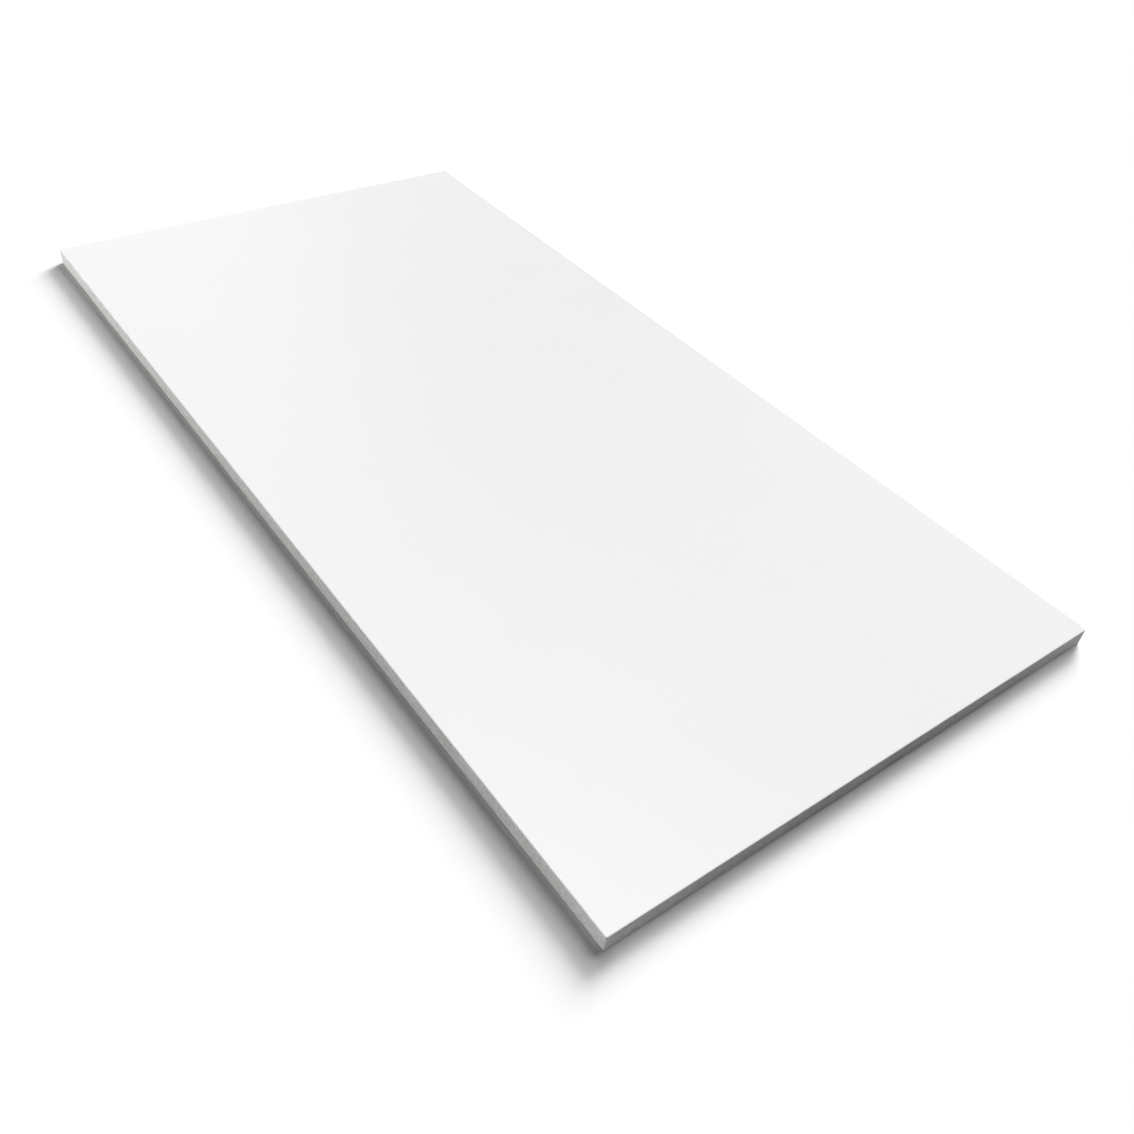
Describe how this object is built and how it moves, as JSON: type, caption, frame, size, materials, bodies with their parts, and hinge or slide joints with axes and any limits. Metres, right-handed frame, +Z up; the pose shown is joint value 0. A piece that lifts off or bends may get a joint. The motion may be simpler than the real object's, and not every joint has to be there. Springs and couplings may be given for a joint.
{
  "type": "glazed ceramic tile",
  "caption": "Rectangular wall or floor tile with a plain white satin glazed face, square ground edges, eased arrises and a keyed back for adhesive.",
  "frame": {"origin": "middle of the back, on the plane that the key ribs bear on, which is the bottom centre of the bounding box", "axes": "+X along the length, +Y across the width, +Z up out of the glazed face"},
  "size_m": [0.6, 0.3, 0.0095],
  "materials": {
    "glazed_ceramic": "satin"
  },
  "bodies": {
    "root": {"tile": "glazed_ceramic"}
  },
  "joints": []
}
